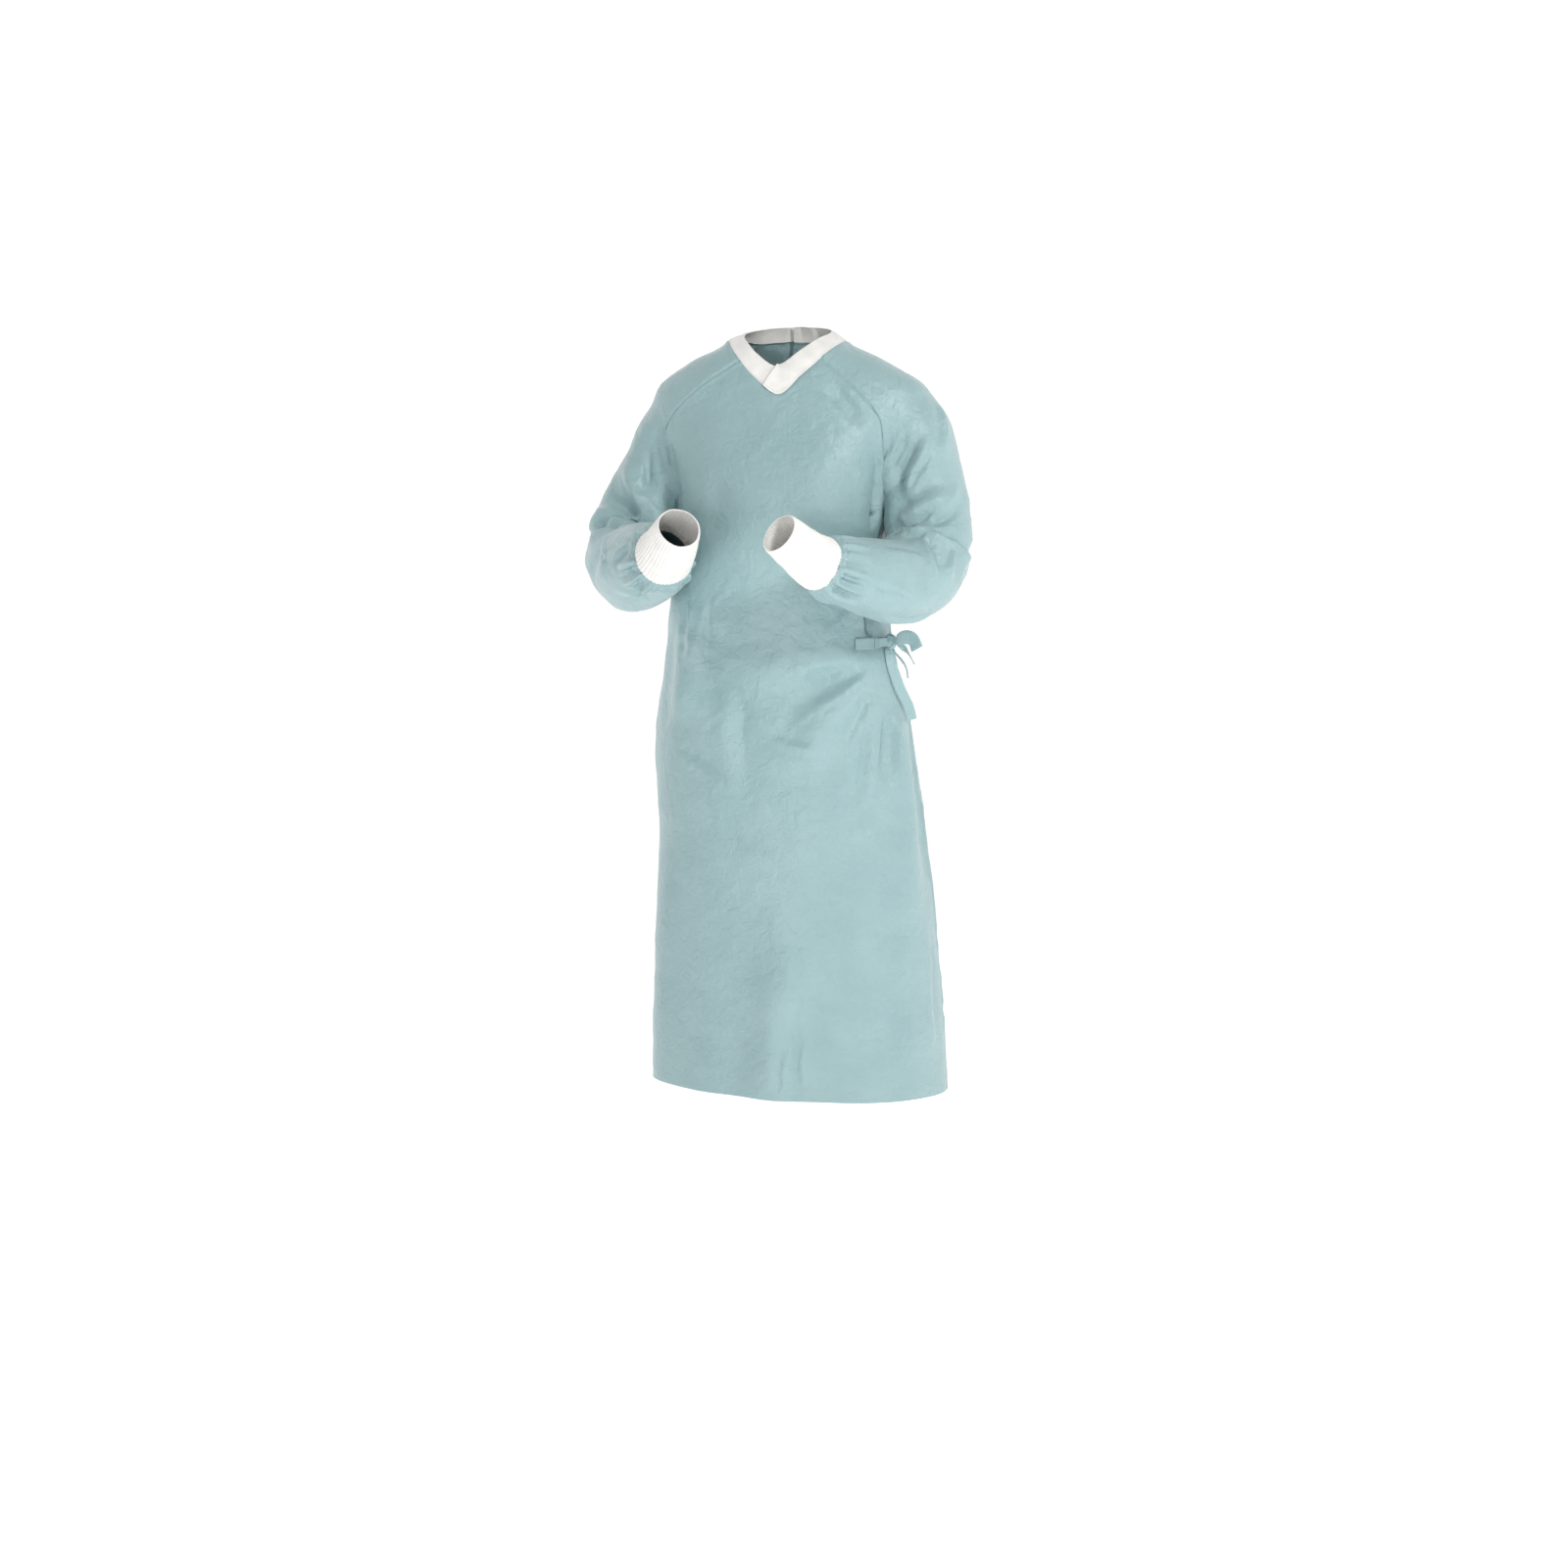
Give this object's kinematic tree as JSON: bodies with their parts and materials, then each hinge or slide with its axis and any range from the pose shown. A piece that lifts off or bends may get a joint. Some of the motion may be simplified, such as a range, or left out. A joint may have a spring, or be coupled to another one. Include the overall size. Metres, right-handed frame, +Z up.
{
  "type": "surgical gown",
  "caption": "Worn wrap-around surgical gown, hollow, with raglan sleeves bent forward, knit cuffs, a V neck band and a side waist tie.",
  "frame": {"origin": "between the shoulders at the base of the neck, where the wearer carries the gown", "axes": "+Z up, the gown's front faces -Y, and the wearer's left is +X"},
  "size_m": [0.5942, 0.5148, 1.1592],
  "materials": {
    "gown_cloth": "smooth non-woven, slight sheen",
    "knit": "fine rib knit",
    "tie_cloth": "smooth non-woven"
  },
  "bodies": {
    "root": {"front": "gown_cloth", "back_left": "gown_cloth", "back_right": "gown_cloth", "sleeve_left": "gown_cloth", "sleeve_right": "gown_cloth", "cuff_left": "knit", "cuff_right": "knit", "collar_left": "knit", "collar_right": "knit", "tie_tab": "tie_cloth", "tie_front": "tie_cloth", "tie_back": "tie_cloth", "tie_knot": "tie_cloth", "tie_loop_side": "tie_cloth", "tie_loop_down": "tie_cloth", "tie_end_a": "tie_cloth", "tie_end_b": "tie_cloth", "neck_tab": "tie_cloth"}
  },
  "joints": []
}
